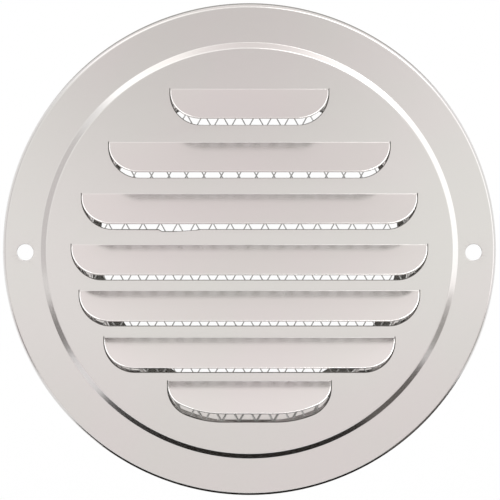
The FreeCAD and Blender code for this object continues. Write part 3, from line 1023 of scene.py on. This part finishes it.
# Softboxes: name, degrees right of the object's front, degrees up, size, radiance.
SOFTBOXES = (
    ("softbox_right", 55, 12, (0.3, 1.1), 0.6),
    ("softbox_top_right", 41, 46, (0.58, 0.26), 0.4),
    ("softbox_top_left", -43, 46, (0.52, 0.26), 0.4),
    ("softbox_front_right", 28, 38, (0.56, 0.08), 3.0),
    ("softbox_front_left", -26, 38, (0.5, 0.22), 0.35),
)


def add_card(name, place, size, facing, paint):
    """Stands a flat card in the studio, looking along a direction."""
    bpy.ops.object.select_all(action="DESELECT")
    bpy.ops.mesh.primitive_plane_add(size=1)
    card = bpy.context.object
    card.name = name
    card.scale = (size[0], size[1], 1)
    card.rotation_euler = Vector(facing).to_track_quat("Z", "Y").to_euler()
    card.location = place
    bpy.ops.object.transform_apply(location=True, rotation=True, scale=True)
    card.data.materials.append(paint)
    return card


def add_flag(name, place, size, facing, paint):
    """Stands a card that only reflections show."""
    flag = add_card(name, place, size, facing, paint)
    flag.visible_camera = False
    flag.visible_diffuse = False
    flag.visible_shadow = False


def add_softbox(name, azimuth, elevation, size, radiance):
    """Hangs a soft rectangular lamp that looks at the object and that only reflections show."""
    turn = math.radians(azimuth)
    rise = math.radians(elevation)
    way = Vector((math.sin(turn) * math.cos(rise), -math.cos(turn) * math.cos(rise), math.sin(rise)))
    bpy.ops.object.light_add(type="AREA", location=way * LAMP_DISTANCE)
    lamp = bpy.context.object
    lamp.name = name
    lamp.rotation_euler = way.to_track_quat("Z", "Y").to_euler()
    lamp.data.shape = "RECTANGLE"
    lamp.data.size, lamp.data.size_y = size
    lamp.data.energy = radiance * math.pi * size[0] * size[1]
    lamp.visible_camera = False
    lamp.visible_diffuse = False


def stand_flags(low):
    """Stands the flags that the sheet mirrors as its dark lines."""
    tones = {name: flag_paint(name, colour) for name, colour in FLAG_TONES.items()}
    for name, (across, inwards), size, tone in FLOOR_FLAGS:
        add_flag(name, (across, inwards, low), size, UPWARDS, tones[tone])
    for name, place, size, facing, tone in STANDING_FLAGS:
        add_flag(name, place, size, facing, tones[tone])
    wall_shade = first_bounce_paint("wall_shade", WALL_TONE)
    add_flag("flag_walls", (0, 0.75, -0.03), (0.4, 0.32), FRONT, wall_shade)


def stand_bounce_cards(low):
    """Stands the cards that the panel, the flaps and the flange mirror as their pale tones."""
    front_card = spot_paint(
        "front_card", centre=(-0.05, -1.6, 0.25), reach=(0.1, 0.45),
        dark=(0.76, 0.72, 0.715), light=(1.06, 1.06, 1.035))
    add_flag("card_front", (0, -1.6, 0.45), (2.4, 1.3), INTO_DUCT, front_card)
    top_card = spot_paint(
        "top_card", centre=(0.01, -0.47, 1.0), reach=(0.03, 0.27),
        dark=(0.86, 0.808, 0.806), light=(1.06, 1.02, 1.005))
    add_flag("card_top", (0, -0.45, 1.0), (1.4, 1.2), -UPWARDS, top_card)
    floor_card = spot_paint(
        "floor_card", centre=(0.15, -0.5, low), reach=(0.2, 1.3),
        dark=(0.93, 0.89, 0.88), light=(1.01, 1.02, 0.995))
    add_flag("card_low", (0, -1.0, low), (2.4, 1.5), UPWARDS, floor_card)


def set_world(scene):
    """Surrounds the object with plain white light."""
    world = bpy.data.worlds.new("white_studio")
    world.use_nodes = True
    background = world.node_tree.nodes["Background"]
    background.inputs["Color"].default_value = (1, 1, 1, 1)
    background.inputs["Strength"].default_value = 1.0
    scene.world = world


def set_camera(scene, studio):
    """Stands the camera where the object's front fills the picture."""
    level = QUARTER - studio.camera_tilt
    bpy.ops.object.camera_add(location=studio.camera_place, rotation=(level, 0, 0))
    camera = bpy.context.object
    camera.data.lens = studio.camera_lens
    camera.data.sensor_width = SENSOR_WIDTH
    camera.data.clip_start = NEAREST_SEEN
    scene.camera = camera
    scene.view_settings.view_transform = "Standard"


class VENT_OT_studio(bpy.types.Operator):
    """Set up the floor, the white surroundings, the lamps, the cards and the camera"""

    bl_idname = "vent.studio"
    bl_label = "Studio"

    def execute(self, context):
        studio = context.scene.vent_studio
        floor = floor_paint(studio.floor_colour, FLOOR_LIFT)
        add_card("floor", (0, 0, studio.floor_height), FLOOR_SPAN, UPWARDS, floor)
        low = studio.floor_height + OFF_FLOOR
        stand_flags(low)
        stand_bounce_cards(low)
        for name, azimuth, elevation, size, radiance in SOFTBOXES:
            add_softbox(name, azimuth, elevation, size, radiance)
        set_world(context.scene)
        set_camera(context.scene, studio)
        return {"FINISHED"}


class VENT_PT_sidebar(bpy.types.Panel):
    """Lists the pieces of the vent cover and its studio"""

    bl_idname = "VENT_PT_sidebar"
    bl_label = "Round Vent Cover"
    bl_space_type = "VIEW_3D"
    bl_region_type = "UI"
    bl_category = "Vent Cover"

    def draw(self, context):
        for operator in OPERATORS:
            self.layout.operator(operator.bl_idname)


SETTINGS = {
    "vent_faceplate": FaceplateSizes,
    "vent_louvres": LouvreSizes,
    "vent_collar": CollarSizes,
    "vent_screen": ScreenSizes,
    "vent_colours": FinishColours,
    "vent_studio": StudioSettings,
}
OPERATORS = (VENT_OT_faceplate, VENT_OT_collar, VENT_OT_screen, VENT_OT_studio)


def register():
    """Registers the settings, the operators and the panel."""
    for name, group in SETTINGS.items():
        bpy.utils.register_class(group)
        setattr(bpy.types.Scene, name, PointerProperty(type=group))
    for operator in OPERATORS:
        bpy.utils.register_class(operator)
    bpy.utils.register_class(VENT_PT_sidebar)


def unregister():
    """Takes the panel, the operators and the settings away again."""
    bpy.utils.unregister_class(VENT_PT_sidebar)
    for operator in reversed(OPERATORS):
        bpy.utils.unregister_class(operator)
    for name, group in reversed(SETTINGS.items()):
        delattr(bpy.types.Scene, name)
        bpy.utils.unregister_class(group)


def main():
    """Builds every piece and the studio."""
    register()
    bpy.ops.vent.faceplate()
    bpy.ops.vent.collar()
    bpy.ops.vent.screen()
    bpy.ops.vent.studio()


if __name__ == "__main__":
    main()
